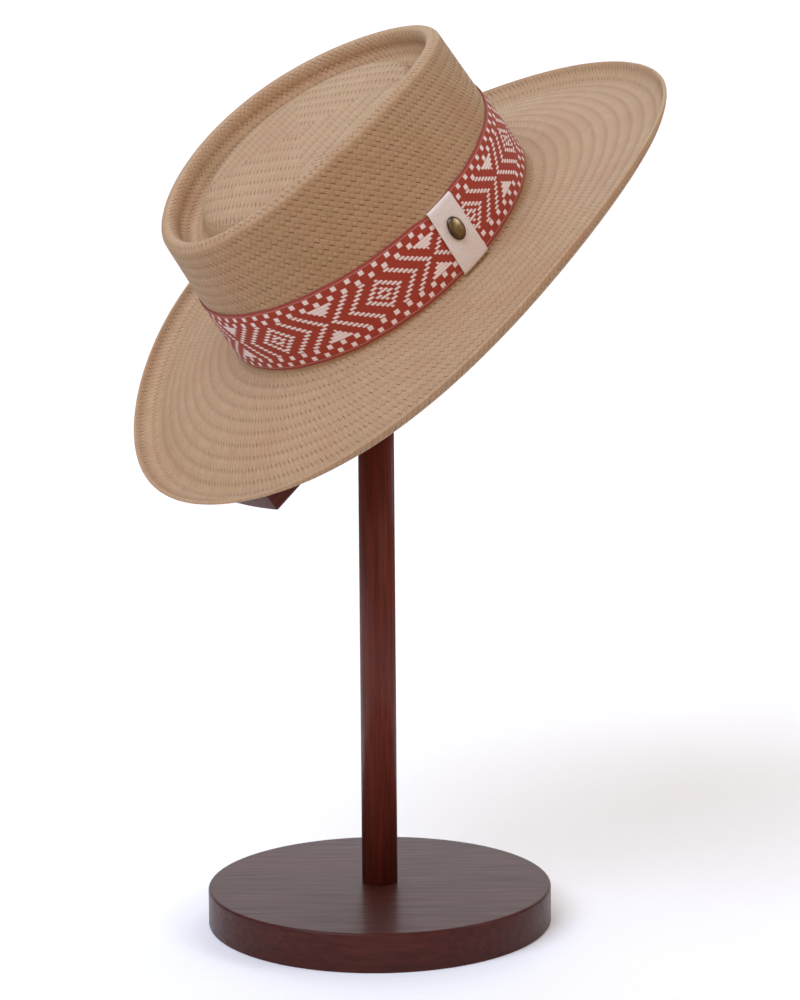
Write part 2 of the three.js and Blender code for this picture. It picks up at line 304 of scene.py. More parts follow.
def on_oval(oval, angle, z):
    """One point of an oval, at height z."""
    c, s = cos(angle), sin(angle)
    power = 2 / oval["square"]
    return Vector((oval["x"] + oval["a"] * copysign(abs(c) ** power, c),
                   oval["y"] + oval["b"] * copysign(abs(s) ** power, s), z))


def out_of(oval, angle):
    """The level direction straight out of an oval."""
    along = on_oval(oval, angle + 0.001, 0) - on_oval(oval, angle - 0.001, 0)
    return Vector((along.y, -along.x, 0)).normalized()


def between(one, other, share):
    """The oval a share of the way from one oval to another."""
    return {key: mix(one[key], other[key], share) for key in ("x", "y", "a", "b", "square")}


def rim_rise(angle):
    return (-0.6 * cos(angle) + 2.9 * sin(angle)
            - 4.2 * cos(2 * angle) + 1.4 * sin(2 * angle))


def band_rise(angle):
    return -3.0 * cos(angle) - 0.5 * sin(angle) + 1.7 * cos(2 * angle)


def edge_rise(angle):
    return (-2.9 * cos(angle) + 8.0 * sin(angle) - 10.7 * cos(2 * angle)
            + 0.7 * cos(3 * angle) + 1.4 * cos(4 * angle))


inner_a, inner_b = CROWN_FOOT["a"] - STRAW, CROWN_FOOT["b"] - STRAW
print("head opening round the inside, cm:", round(pi * (inner_a + inner_b) / 10, 1))

# %% [markdown]
# ## One ring after another
#
# A lathe can't make this hat, because its ovals aren't circles and its rim
# and brim rise and fall. It is made the way it is woven instead: from a small
# ring in the middle of the top, ring by ring, down to the brim's edge. Each
# ring is the edge of the last one, extruded and moved into place. The ribbon
# and the tab are grown the same way, the tab from an open line.

# %% Helpers: grow a sheet, and finish a piece
def grow(mesh, line, points, closed=True):
    """Extrudes a line of vertices and moves the new line to these points."""
    neighbours = line[1:] + line[:1] if closed else line[1:]
    edges = [mesh.edges.get(pair) for pair in zip(line, neighbours)]
    made = bmesh.ops.extrude_edge_only(mesh, edges=edges)["geom"]
    fresh = {g for g in made if isinstance(g, bmesh.types.BMVert)}
    new_line = [next(e.other_vert(v) for e in v.link_edges if e.other_vert(v) in fresh) for v in line]
    for vertex, point in zip(new_line, points):
        vertex.co = point
    return new_line


def grow_through(point_lines, closed=True):
    """A sheet grown through lines of points, its own lines, and each vertex's line and place."""
    mesh = bmesh.new()
    if closed:
        line = bmesh.ops.create_circle(mesh, segments=len(point_lines[0]), radius=1)["verts"]
    else:
        line = [mesh.verts.new() for _ in point_lines[0]]
        for pair in zip(line, line[1:]):
            mesh.edges.new(pair)
    for vertex, point in zip(line, point_lines[0]):
        vertex.co = point
    lines = [line]
    for points in point_lines[1:]:
        lines.append(grow(mesh, lines[-1], points, closed))
    return mesh, lines, {v: (r, k) for r, ring in enumerate(lines) for k, v in enumerate(ring)}


def lengths_along(points):
    """How far each point lies from the first one, measured along their line."""
    lengths = [0.0]
    for p, q in zip(points, points[1:]):
        lengths.append(lengths[-1] + (p - q).length)
    return lengths


def thicken(mesh, face, outward, thickness):
    """Turns a sheet so that this face looks outward, and gives the sheet its thickness inwards."""
    bmesh.ops.recalc_face_normals(mesh, faces=mesh.faces)
    if face.normal.dot(outward) < 0:
        bmesh.ops.reverse_faces(mesh, faces=mesh.faces)
    bmesh.ops.solidify(mesh, geom=mesh.faces[:], thickness=thickness)


SHARP = 1.2  # radians between two faces, past which an edge counts as sharp


def round_off(mesh, edges, radius, segments):
    """Rounds edges off, as sanding or pressing does."""
    bmesh.ops.bevel(mesh, geom=edges, offset=radius, segments=segments, profile=0.5,
                    affect="EDGES", material=-1)


def make_object(name, mesh, material, smooth=True):
    """Makes an object of a mesh and gives it its finish."""
    data = bpy.data.meshes.new(name)
    mesh.to_mesh(data)
    mesh.free()
    data.polygons.foreach_set("use_smooth", [smooth] * len(data.polygons))
    data.materials.append(material)
    made = bpy.data.objects.new(name, data)
    bpy.context.scene.collection.objects.link(made)
    return made


def finish(name, mesh, material, node, place=HAT_FRAME, smooth=True):
    """Puts a piece in its place, makes an object of it, and hides the measured piece it stands for."""
    bmesh.ops.transform(mesh, matrix=place, verts=mesh.verts)
    piece = make_object(name, mesh, material, smooth)
    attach(piece, "root")
    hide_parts(node)
    print(name, "triangles:", sum(len(p.vertices) - 2 for p in piece.data.polygons))


# %% [markdown]
# The rows follow the block closely. The sunk top is a smooth curve through a
# few measured rings, the rim is half a round tube, the side is nearly
# straight, and the brim bows down before its edge curls up.

# %% The hat: work out where each row lies
def curve_through(knots, share):
    """A smooth curve through a list of knots, from the first at 0 to the last at 1."""
    place = share * (len(knots) - 1)
    k = min(int(place), len(knots) - 2)
    f = place - k
    before, after = knots[max(k - 1, 0)], knots[min(k + 2, len(knots) - 1)]
    return [0.5 * (2 * q + (r - p) * f + (2 * p - 5 * q + 4 * r - s) * f * f
                   + (3 * q - p - 3 * r + s) * f ** 3)
            for p, q, r, s in zip(before, knots[k], knots[k + 1], after)]


# Each of these gives a row of the hat as a function of the angle round it.
def top_row(share):
    a, b, z, follow = curve_through(TOP_RINGS, share)
    oval = dict(RIM, a=a, b=b)
    return lambda angle: on_oval(oval, angle, z + follow * rim_rise(angle))


def rim_row(degrees):
    reach = -RIM_RADIUS * cos(radians(degrees))
    oval = dict(RIM, a=RIM["a"] + reach, b=RIM["b"] + reach)
    lift = RIM_RADIUS * sin(radians(degrees))
    return lambda angle: on_oval(oval, angle, RIM["z"] + rim_rise(angle) + lift)


def side_row(share):
    rim_outer = dict(RIM, a=RIM["a"] + RIM_RADIUS, b=RIM["b"] + RIM_RADIUS)
    oval = between(rim_outer, BAND_TOP, share)
    return lambda angle: on_oval(
        oval, angle, mix(RIM["z"] + rim_rise(angle), BAND_TOP["z"] + band_rise(angle), share))


def band_row(share):
    oval = between(BAND_TOP, BAND_FOOT, share)
    level = mix(BAND_TOP["z"], BAND_FOOT["z"], share)
    return lambda angle: on_oval(oval, angle, level + band_rise(angle))


def foot_row(share):
    oval = between(BAND_FOOT, BRIM_START, share ** FOOT_SPREAD)
    drop = 1 - (1 - share) ** FOOT_DROP
    return lambda angle: on_oval(oval, angle, mix(BAND_FOOT["z"] + band_rise(angle), 0, drop))


def brim_row(share):
    """From the crown's foot at 0 to the start of the curl at 1 and the brim's edge at 2."""
    def at(angle):
        end = radians(mix(*CURL_END_DEG, sin(angle) ** 2))
        radius = CURL_LENGTH / end
        out = out_of(EDGE, angle)
        curl = on_oval(EDGE, angle, EDGE["z"] + edge_rise(angle) - radius * (1 - cos(end)))
        curl -= out * radius * sin(end)
        if share > 1:
            turned = (share - 1) * end
            return curl + out * radius * sin(turned) + Vector((0, 0, radius * (1 - cos(turned))))
        foot = on_oval(BRIM_START, angle, 0)
        return Vector((mix(foot.x, curl.x, share), mix(foot.y, curl.y, share), curl.z * share ** BRIM_BOW))
    return at


rows = [(top_row(k / 34), "top") for k in range(1, 35)]
rows += [(rim_row(180 / 10 * k), "rim") for k in range(1, 11)]
rows += [(side_row(k / 16), "side") for k in range(1, 17)]
rows += [(band_row(k / 10), "hidden") for k in range(1, 11)]
rows += [(foot_row(k / 5), "hidden") for k in range(1, 6)]
rows += [(brim_row(k / 36), "brim") for k in range(1, 37)]
rows += [(brim_row(1 + k / 9), "brim") for k in range(1, 10)]
print("rows from the middle of the top to the edge:", len(rows))

# %% [markdown]
# The weaver starts with a flat square of strips in the middle of the top.
# Its four sides are four fields of straight rows that meet along the
# diagonals. From the edge of the sunk top on, the rows run round the hat.
#
# The number of strips round the hat has to grow with its size, so a weaver
# adds strips in certain rows. Here each zone of rows has its own whole number
# of strips, and the UV map is laid out so that a zone meets itself at the
# back with no break in the twill.
#
# On the crown's side the rows keep their spacing, so some of them end at the
# band where the crown is low. Under the band they are evened out again.

# %% The hat: grow the sheet and lay out its weave
ROUND = 240
angles = [2 * pi * k / ROUND for k in range(ROUND)]

SIDE_STRIPS = 162
# the mean half-axis up to which a row holds this many strips of each set
STRIPS_BY_SIZE = (
    (70, 112), (76, 126), (82, 140), (90, 152), (100, SIDE_STRIPS), (106, 176), (113, 206),
    (125, 240), (140, 270), (155, 300), (inf, 330))


def strips_round(size, part):
    """How many strips of each set a row holds, for its mean half-axis in millimetres."""
    if part in ("side", "hidden"):
        return SIDE_STRIPS
    return next(count for limit, count in STRIPS_BY_SIZE if size < limit)


STRIP_MM, ROW_MM = 3.4, 6.0  # one unit of the flat start, along a row and across it
UNIT_UP_MM = {"top": 4.15, "rim": 4.15, "side": 4.15, "hidden": 4.15, "brim": 5.1}
UNITS_A_RING = 1.5
START_ROWS = 13

places = [[row(angle) for angle in angles] for row, _ in rows]
sheet, rings, where = grow_through(places)
middle_point = Vector((RIM["x"], RIM["y"], TOP_RINGS[0][2]))

levels = [[0.0] * ROUND]
hidden_left = sum(part == "hidden" for _, part in rows)
for one, two, (_, part) in zip(places, places[1:], rows[1:]):
    local = [(p - q).length / UNIT_UP_MM[part] for p, q in zip(one, two)]
    mean_rise = sum(local) / ROUND
    if part == "side":
        levels.append([level + rise for level, rise in zip(levels[-1], local)])
        continue
    mean_level, keep = sum(levels[-1]) / ROUND, 1
    if part == "hidden":
        keep = (hidden_left - 1) / hidden_left
        hidden_left -= 1
    levels.append([mean_level + mean_rise + keep * (level - mean_level) for level in levels[-1]])

foot_lengths = lengths_along([on_oval(CROWN_FOOT, angle, 0) for angle in angles + [2 * pi]])
arc = [length / foot_lengths[-1] for length in foot_lengths]

weave = sheet.loops.layers.uv.new("weave")


def lay_start(face):
    """Lays a face of the flat start out in the field of straight rows it belongs to."""
    off = face.calc_center_median() - middle_point
    for loop in face.loops:
        x, y = (loop.vert.co - middle_point).xy
        if abs(off.x) > abs(off.y):
            across_field, out_field = copysign(y, off.x * y), abs(x)
        else:
            across_field, out_field = -copysign(x, off.y * x), abs(y)
        loop[weave].uv = (across_field / STRIP_MM, out_field / ROW_MM)


for face in sheet.faces:
    spots = [where[loop.vert] for loop in face.loops]
    if max(r for r, _ in spots) <= START_ROWS:
        lay_start(face)
        continue
    low_ring = min(r for r, _ in spots)
    at_seam = any(k == ROUND - 1 for _, k in spots) and any(k == 0 for _, k in spots)
    spread = [p.xy - Vector((RIM["x"], RIM["y"])) for p in places[low_ring + 1][::ROUND // 8]]
    count = strips_round(sum(v.length for v in spread) / len(spread), rows[low_ring + 1][1])
    for loop, (r, k) in zip(face.loops, spots):
        share = arc[ROUND] if at_seam and k == 0 else arc[k]
        loop[weave].uv = (count * share, levels[r][k])
print("rings of the twill from the middle to the edge:", round(levels[-1][0] / UNITS_A_RING))

# %% [markdown]
# The small hole in the middle is closed to a point, and the sheet is given
# its thickness inwards, so that the outside stays where it was measured. The
# two edges of the brim's lip are rounded. They are the only sharp edges that
# far from the crown.

# %% The hat: close, thicken and finish
LIP_BEYOND, LIP_ROUNDING = 120, 0.7

middle = grow(sheet, rings[0], places[0])
bmesh.ops.pointmerge(sheet, verts=middle, merge_co=middle_point)
for face in sheet.faces:
    if len(face.verts) == 3:
        lay_start(face)
highest = max(sheet.faces, key=lambda f: f.calc_center_median().z)
thicken(sheet, highest, Vector((0, 0, 1)), STRAW)
lip = [e for e in sheet.edges if e.calc_face_angle(0) > SHARP
       and min(v.co.xy.length for v in e.verts) > LIP_BEYOND]
round_off(sheet, lip, LIP_ROUNDING, 2)
size = [max(v.co[k] for v in sheet.verts) - min(v.co[k] for v in sheet.verts) for k in range(3)]
print("after thickening, mm:", [round(side, 1) for side in size])
finish("straw_capeline", sheet, straw, "hat_body")

# %% [markdown]
# ## The ribbon band
#
# The band is a jacquard ribbon 39 mm wide. A jacquard loom lifts each thread
# by itself, so a figure in cream thread is woven into the brick-red ground.
# The figure is traditional: nested diamonds between zigzag lines, stepped
# triangles, and two rows of small squares along each edge.
#
# A figure like this could be painted as a picture and laid on. A rule is
# sharper and easier to change, so the figure is a short rule on the ribbon's
# own UV map, in millimetres. The weave goes in rows 1.65 mm high, and each
# row's floats are 3.4 mm long and step sideways by 2.05 mm. Measured from the
# middle of a diamond, every line of the figure keeps the same sum of sideways
# distance and 2.05 mm per row, so one value tells them all.

# %% Ribbon material: rows and distances
REPEAT, REPEATS = 66.0, 9
ROW = 1.65
STEP = 2.05
FLOAT_LEAN = 0.8
LINES_AT = (3.3, 9.4, 20.0, 30.2)
HALF_FLOAT = 1.7

ribbon, t = new_material("jacquard_ribbon_brick_and_cream")
uv = add(t, "ShaderNodeUVMap", uv_map="cloth_mm")
split = add(t, "ShaderNodeSeparateXYZ", [uv])
wide, tall = split.outputs[0], split.outputs[1]
row_exact = add(t, MATH, [tall, 1 / ROW], "MULTIPLY")
row = add(t, MATH, [row_exact], "ROUND")
in_row = add(t, MATH, [row_exact, row], "SUBTRACT")
row_size = add(t, MATH, [row], "ABSOLUTE")
leaned = add(t, MATH, [in_row, FLOAT_LEAN, wide], "MULTIPLY_ADD")
from_diamond = add(t, MATH, [leaned, REPEAT / 2], "PINGPONG")
line_sum = add(t, MATH, [row_size, STEP, from_diamond], "MULTIPLY_ADD")
nearest = None
for line_at in LINES_AT:
    off = add(t, MATH, [line_sum, line_at], "SUBTRACT")
    off_size = add(t, MATH, [off], "ABSOLUTE")
    nearest = off_size if nearest is None else add(t, MATH, [nearest, off_size], "MINIMUM")
across_line = add(t, MATH, [HALF_FLOAT, nearest], "SUBTRACT")
in_row_size = add(t, MATH, [in_row], "ABSOLUTE")
float_edge = add(t, MATH, [in_row_size, -ROW, 0.4 * ROW], "MULTIPLY_ADD")
line_inside = add(t, MATH, [across_line, float_edge], "MINIMUM")

# The triangles widen by a step a row from the third row on.
from_cross = add(t, MATH, [REPEAT / 2, from_diamond], "SUBTRACT")
triangle_half = add(t, MATH, [row_size, 2.1, -5.7], "MULTIPLY_ADD")
triangle_inside = add(t, MATH, [triangle_half, from_cross], "SUBTRACT")
field_inside = add(t, MATH, [line_inside, triangle_inside], "MAXIMUM")
print("repeats round the hat:", REPEATS, "of about", REPEAT, "mm")

# %% [markdown]
# Beyond the sixth row the field gives way to the squares. Their two rows are
# staggered by half a pitch. Each square is about 3 mm wide and 2.7 mm high.
# Outside them run a line of fine dashes and the plain selvedge.

# %% Ribbon material: squares, dashes and selvedge
PITCH = REPEAT / 8
FIELD_ROWS = 6
DASHES_AT = 17.95

height_off = add(t, MATH, [tall], "ABSOLUTE")
to_inner = add(t, MATH, [wide, PITCH / 2], "PINGPONG")
to_outer = add(t, MATH, [PITCH / 2, to_inner], "SUBTRACT")
# distance to the nearest square, half its width, its height on the ribbon, half its own height
square_rows = ((to_inner, 1.5, 12.3, 1.35), (to_outer, 1.45, 16.05, 1.3))
both_rows = []
for to_square, half_width, height_at, half_height in square_rows:
    sideways = add(t, MATH, [half_width, to_square], "SUBTRACT")
    off = add(t, MATH, [height_off, height_at], "SUBTRACT")
    off_size = add(t, MATH, [off], "ABSOLUTE")
    upwards = add(t, MATH, [half_height, off_size], "SUBTRACT")
    both_rows.append(add(t, MATH, [sideways, upwards], "MINIMUM"))
squares_inside = add(t, MATH, both_rows, "MAXIMUM")

in_field = add(t, MATH, [row_size, FIELD_ROWS + 0.5], "LESS_THAN")
field_part = add(t, MIX, [in_field, -1.0, field_inside])
figure_inside = add(t, MATH, [field_part, squares_inside], "MAXIMUM")
figure = add(t, RANGE, [figure_inside, -0.12, 0.22, 0.0, 1.0], **SMOOTH)

dash_off = add(t, MATH, [height_off, DASHES_AT], "SUBTRACT")
dash_off_size = add(t, MATH, [dash_off], "ABSOLUTE")
dash_line = add(t, RANGE, [dash_off_size, 0.15, 0.4, 1.0, 0.0])
dash_wave = add(t, MATH, [wide, 0.5], "PINGPONG")
dash = add(t, RANGE, [dash_wave, 0.2, 0.4, 0.0, 0.5])
dashes = add(t, MATH, [dash_line, dash], "MULTIPLY")
cream_share = add(t, MATH, [figure, dashes], "MAXIMUM")
selvedge = add(t, RANGE, [height_off, 18.1, 18.5, 0.0, 1.0], **SMOOTH)
print("squares every", PITCH, "mm")

# %% [markdown]
# Close up, each row is a line of floats, and the ground is a fine rib. Both
# are drawn as relief, and the threads as a slight shade too, about 0.4 mm
# apart as on a real ribbon of this kind. In the figure, the grooves between
# rows are darkened as painted shade.

# %% Ribbon material: threads and shader
HALF_THREAD = 0.2

row_groove = add(t, RANGE, [in_row_size, 0.34, 0.5, 0.0, 1.0], **SMOOTH)
field_groove = add(t, MATH, [row_groove, in_field], "MULTIPLY")
thread_lean = add(t, MATH, [tall, 0.55, wide], "MULTIPLY_ADD")
thread_wave = add(t, MATH, [thread_lean, HALF_THREAD], "PINGPONG")
thread = add(t, MATH, [thread_wave, 1 / HALF_THREAD], "MULTIPLY")
rib_wave = add(t, MATH, [tall, 0.21], "PINGPONG")
rib = add(t, MATH, [rib_wave, 4.8], "MULTIPLY")

thread_place = add(t, "ShaderNodeCombineXYZ", [wide, tall, 0.0])
yarn = add(t, NOISE, {"Vector": thread_place, "Scale": 1.3, "Detail": 3.0})
slub_place = add(t, VECTOR, [thread_place, (0.25, 2.6, 1.0)], "MULTIPLY")
slub = add(t, NOISE, {"Vector": slub_place, "Scale": 1.0, "Detail": 2.0})

ground = add(t, RAMP, [yarn], colours=[(0.3, "#953424"), (0.7, "#AB422D")])
edge_red = add(t, MIX, [selvedge, ground, linear("#9C4238")], data_type="RGBA")
cream = add(t, RAMP, [slub], colours=[(0.3, "#E9DBD4"), (0.7, "#F8F0EB")])
# Painted shade: the cream is darkened in the grooves between rows.
groove_shade = add(t, MATH, [field_groove, 0.4], "MULTIPLY")
cream_groove_shaded = add(t, MIX, [groove_shade, cream, linear("#B5745F")], data_type="RGBA")
cloth_colour = add(t, MIX, [cream_share, edge_red, cream_groove_shaded], data_type="RGBA")
thread_shade = add(t, RANGE, [thread, 0.0, 1.0, 0.88, 1.06])
cloth_shaded = add(t, VECTOR, {0: cloth_colour, "Scale": thread_shade}, "SCALE")

thread_height = add(t, MIX, [cream_share, rib, thread])
raised = add(t, MATH, [cream_share, 1.6, thread_height], "MULTIPLY_ADD")
grooved_height = add(t, MATH, [field_groove, -0.9, raised], "MULTIPLY_ADD")
relief = add(t, "ShaderNodeBump", {"Height": grooved_height, "Strength": 0.5, "Distance": 0.00018})
shader = add(t, "ShaderNodeBsdfPrincipled", {
    "Base Color": cloth_shaded, "Roughness": 0.72, "Normal": relief, "IOR": 1.5,
    "Specular IOR Level": 0.3, "Sheen Weight": 0.12, "Sheen Roughness": 0.4})
add(t, "ShaderNodeOutputMaterial", {"Surface": shader})
print("ribbon:", len(t.nodes), "nodes")

# %% [markdown]
# The band itself is a strip of cloth that hugs the crown. Its two edges roll
# in a little and waver slightly, and near the tab its upper edge is pulled
# down. It could be cut out of the crown's own faces, but then its edges would
# follow the straw's rows. So it is grown in rows from its lower edge. Round
# the back the repeat is eased by four hundredths, so that nine repeats meet.

# %% The band: make the strip
RIBBON = 0.8
RIBBON_WIDTH = 39.1
TAB_ANGLE = radians(83.3)
TRUE_AHEAD, TRUE_BEHIND = 90.0, 215.0  # how far from the tab the repeat keeps its size
FIGURE_START = 13.7
BAND_ROUND = 288
BAND_ROWS = 16


def band_point(angle, share, offset):
    oval = between(BAND_FOOT, BAND_TOP, share)
    point = on_oval(oval, angle, mix(BAND_FOOT["z"], BAND_TOP["z"], share) + band_rise(angle))
    return point + out_of(oval, angle) * offset


def row_share(row_number):
    """How far up the band a row lies. The rows crowd together towards its edges."""
    return 0.5 - 0.5 * cos(pi * row_number / BAND_ROWS)


def figure_place(length, whole):
    """Where the figure is at a distance round the band: true in front, eased at the back."""
    front, back = TRUE_AHEAD, whole - TRUE_BEHIND
    if length <= front:
        along = length
    elif length >= back:
        along = length - whole + REPEATS * REPEAT
    else:
        along = mix(front, back - whole + REPEATS * REPEAT, (length - front) / (back - front))
    return along - FIGURE_START


band_angles = [TAB_ANGLE + 2 * pi * k / BAND_ROUND for k in range(BAND_ROUND + 1)]
band_lengths = lengths_along([band_point(angle, 0.5, GAP + RIBBON) for angle in band_angles])
whole = band_lengths[-1]
band_lines = []
for row_number in range(BAND_ROWS + 1):
    share = row_share(row_number)
    roll = RIBBON * 0.45 * (2 * share - 1) ** 8
    points = []
    for angle, length in zip(band_angles[:-1], band_lengths):
        signed = length if length < whole / 2 else length - whole
        pinch = 2.4 * exp(-((signed + 5) / 9) ** 2) * share ** 3
        waver = 0.12 * sin(signed / 7.3) + 0.1 * sin(signed / 3.1 + 2)
        point = band_point(angle, share, GAP + RIBBON - roll)
        point.z += waver * (2 * share - 1) - pinch
        points.append(point)
    band_lines.append(points)

strip_mesh, _, spot = grow_through(band_lines)
cloth = strip_mesh.loops.layers.uv.new("cloth_mm")
for face in strip_mesh.faces:
    ks = [spot[loop.vert][1] for loop in face.loops]
    at_seam = max(ks) - min(ks) > 1
    for loop in face.loops:
        r, k = spot[loop.vert]
        length = whole if at_seam and k == 0 else band_lengths[k]
        loop[cloth].uv = (figure_place(length, whole), (row_share(r) - 0.5) * RIBBON_WIDTH)
some = next(iter(strip_mesh.faces))
thicken(strip_mesh, some, some.calc_center_median(), RIBBON * 0.55)
finish("ribbon_band", strip_mesh, ribbon, "hat_band")
print("band length, mm:", round(whole))

# %% [markdown]
# ## The tab
#
# A short piece of cream cotton twill tape, 20 mm wide, is folded round the
# band from above and below and caught at the back. Its weave shows as fine
# diagonal ribs. It could be a flat piece that a cloth simulation folds, but
# it is pressed flat and shows only its front, so a curved strip is enough.
# It grows sideways from one edge of the tape, and then gets its thickness.

# %% Tab material: cotton twill tape
tape, t = new_material("cotton_twill_tape_cream")
uv = add(t, "ShaderNodeUVMap", uv_map="cloth_mm")
split = add(t, "ShaderNodeSeparateXYZ", [uv])
diagonal = add(t, MATH, [split.outputs[1], 0.62, split.outputs[0]], "MULTIPLY_ADD")
rib_wave = add(t, MATH, [diagonal, 0.5], "PINGPONG")
rib = add(t, MATH, [rib_wave, 2.0], "MULTIPLY")
yarn = add(t, NOISE, {"Vector": uv, "Scale": 2.2, "Detail": 3.0})
crease = add(t, NOISE, {"Vector": uv, "Scale": 0.13, "Detail": 2.0})
cotton = add(t, RAMP, [yarn], colours=[(0.3, "#E6DFD8"), (0.7, "#F3EEE9")])
rib_shade = add(t, RANGE, [rib, 0.0, 1.0, 0.84, 1.04])
cotton_shaded = add(t, VECTOR, {0: cotton, "Scale": rib_shade}, "SCALE")
height = add(t, MATH, [crease, 3.0, rib], "MULTIPLY_ADD")
relief = add(t, "ShaderNodeBump", {"Height": height, "Strength": 0.7, "Distance": 0.0003})
shader = add(t, "ShaderNodeBsdfPrincipled", {
    "Base Color": cotton_shaded, "Roughness": 0.8, "Normal": relief, "IOR": 1.5,
    "Specular IOR Level": 0.3, "Sheen Weight": 0.15})
add(t, "ShaderNodeOutputMaterial", {"Surface": shader})
print("twill rib spacing, mm: 1.0, coarser than the real 0.6 so that it shows")

# %% The tab: bend the tape round the band
TAB_WIDTH = 20
TAB_CLOTH = 0.6
TAB_FRONT = GAP + RIBBON + GAP + TAB_CLOTH
TAB_COLUMNS = 24

# The tape's path over the band, from the back of its top fold to the back of
# its bottom fold: share of the band's height, distance out, extra height.
tape_path = [(1, 0.5, -0.95), (1, 1.1, -0.75), (1, 1.65, -0.9), (1, TAB_FRONT, -1.4)]
tape_path += [(share, TAB_FRONT + 0.25 * sin(pi * share) ** 0.5, 0)
              for share in (0.94, 0.9, 0.82, 0.7, 0.56, 0.42, 0.28, 0.14, 0.06, 0.02)]
tape_path += [(0, TAB_FRONT, -0.3), (0, 1.65, -0.75), (0, 1.1, -0.85), (0, 0.5, -0.7)]

SMALL_TURN = 0.01
one_side, other_side = (band_point(TAB_ANGLE + turned, 0.5, TAB_FRONT) for turned in (0, SMALL_TURN))
per_radian = (other_side - one_side).length / SMALL_TURN
tab_lines = []
for k in range(TAB_COLUMNS + 1):
    side = 2 * k / TAB_COLUMNS - 1
    angle = TAB_ANGLE + side * TAB_WIDTH / 2 / per_radian
    points = []
    for share, out, lift in tape_path:
        point = band_point(angle, share, out - 0.12 * side ** 6)
        point.z += lift
        points.append(point)
    tab_lines.append(points)

tab_mesh, _, spot = grow_through(tab_lines, closed=False)
path_mm = lengths_along(tab_lines[0])
cloth = tab_mesh.loops.layers.uv.new("cloth_mm")
for face in tab_mesh.faces:
    for loop in face.loops:
        k, r = spot[loop.vert]
        loop[cloth].uv = (TAB_WIDTH * k / TAB_COLUMNS, -path_mm[r])
largest = max(tab_mesh.faces, key=lambda f: f.calc_area())
thicken(tab_mesh, largest, out_of(BAND_TOP, TAB_ANGLE), TAB_CLOTH)
round_off(tab_mesh, [e for e in tab_mesh.edges if e.calc_face_angle(0) > SHARP], 0.3 * TAB_CLOTH, 2)
finish("folded_tab", tab_mesh, tape, "band_tab")
print("tape, mm:", TAB_WIDTH, "by", round(path_mm[-1]))

# %% [markdown]
# ## The stud
#
# The stud is a small oval button of antique brass: stamped, darkened in a
# bath, and then brushed, so that its high middle is brighter and warmer than
# its edge. A scaled ball would be too thick at its rim, so the stud is a disc
# whose upper face is inset ring by ring and lifted into a low dome.

# %% Stud material: antique brass
brass, t = new_material("antique_brass_brushed")
object_place = add(t, "ShaderNodeTexCoord").outputs["Object"]
patina = add(t, NOISE, {"Vector": object_place, "Scale": 420.0, "Detail": 4.0})
raised = add(t, "ShaderNodeUVMap", uv_map="from_middle")
raised_split = add(t, "ShaderNodeSeparateXYZ", [raised])
worn = add(t, RANGE, [raised_split.outputs[0], 0.35, 1.0, 0.85, 0.0], **SMOOTH)
worn_uneven = add(t, MATH, [worn, patina], "MULTIPLY")
metal = add(t, RAMP, [worn_uneven], colours=[(0, "#5A4E42"), (0.5, "#A08A66")])
dull = add(t, RANGE, [patina, 0.3, 0.7, 0.24, 0.42])
relief = add(t, "ShaderNodeBump", {"Height": patina, "Strength": 0.12, "Distance": 0.0002})
shader = add(t, "ShaderNodeBsdfPrincipled", {
    "Base Color": metal, "Metallic": 1.0, "Roughness": dull, "Normal": relief})
add(t, "ShaderNodeOutputMaterial", {"Surface": shader})
print("brass:", len(t.nodes), "nodes")

# %% The stud: round a disc into an oval dome
STUD_WIDTH, STUD_HEIGHT, STUD_SHARE = 9.8, 14, 0.56
STUD_DOME, STUD_RIM = 2.6, 0.7
DOME_RINGS, RING_STEP = 11, 0.085

seat = band_point(TAB_ANGLE, STUD_SHARE, TAB_FRONT + GAP + 0.25)
under = band_point(TAB_ANGLE, STUD_SHARE, 0)
along = (band_point(TAB_ANGLE + SMALL_TURN, STUD_SHARE, 0) - under).normalized()
rise = (band_point(TAB_ANGLE, STUD_SHARE + 0.01, 0) - under).normalized()
outward = along.cross(rise).normalized()
stud_frame = Matrix((along, outward.cross(along), outward)).transposed().to_4x4()
stud_frame.translation = seat

stud_mesh = bmesh.new()
bmesh.ops.create_circle(stud_mesh, cap_ends=True, segments=64, radius=1)
base = stud_mesh.faces[:]
bmesh.ops.recalc_face_normals(stud_mesh, faces=base)
raised_geometry = bmesh.ops.extrude_face_region(stud_mesh, geom=base)["geom"]
top_verts = [g for g in raised_geometry if isinstance(g, bmesh.types.BMVert)]
bmesh.ops.translate(stud_mesh, vec=(0, 0, 0.5), verts=top_verts)
top = next(g for g in raised_geometry if isinstance(g, bmesh.types.BMFace))
for _ in range(DOME_RINGS):
    bmesh.ops.inset_region(stud_mesh, faces=[top], thickness=RING_STEP)
bmesh.ops.recalc_face_normals(stud_mesh, faces=stud_mesh.faces)
for vertex in stud_mesh.verts:
    if vertex.co.z > 0:
        lift = sqrt(max(0.0, 1 - min(vertex.co.xy.length, 1) ** 2))
        vertex.co.z = STUD_RIM + (STUD_DOME - STUD_RIM) * lift
from_middle = stud_mesh.loops.layers.uv.new("from_middle")
for face in stud_mesh.faces:
    for loop in face.loops:
        loop[from_middle].uv = (loop.vert.co.xy.length, 0)
bmesh.ops.scale(stud_mesh, vec=(STUD_WIDTH / 2, STUD_HEIGHT / 2, 1), verts=stud_mesh.verts)
finish("oval_stud", stud_mesh, brass, "tab_stud", place=HAT_FRAME @ stud_frame)
print("stud, mm:", STUD_WIDTH, "by", STUD_HEIGHT)
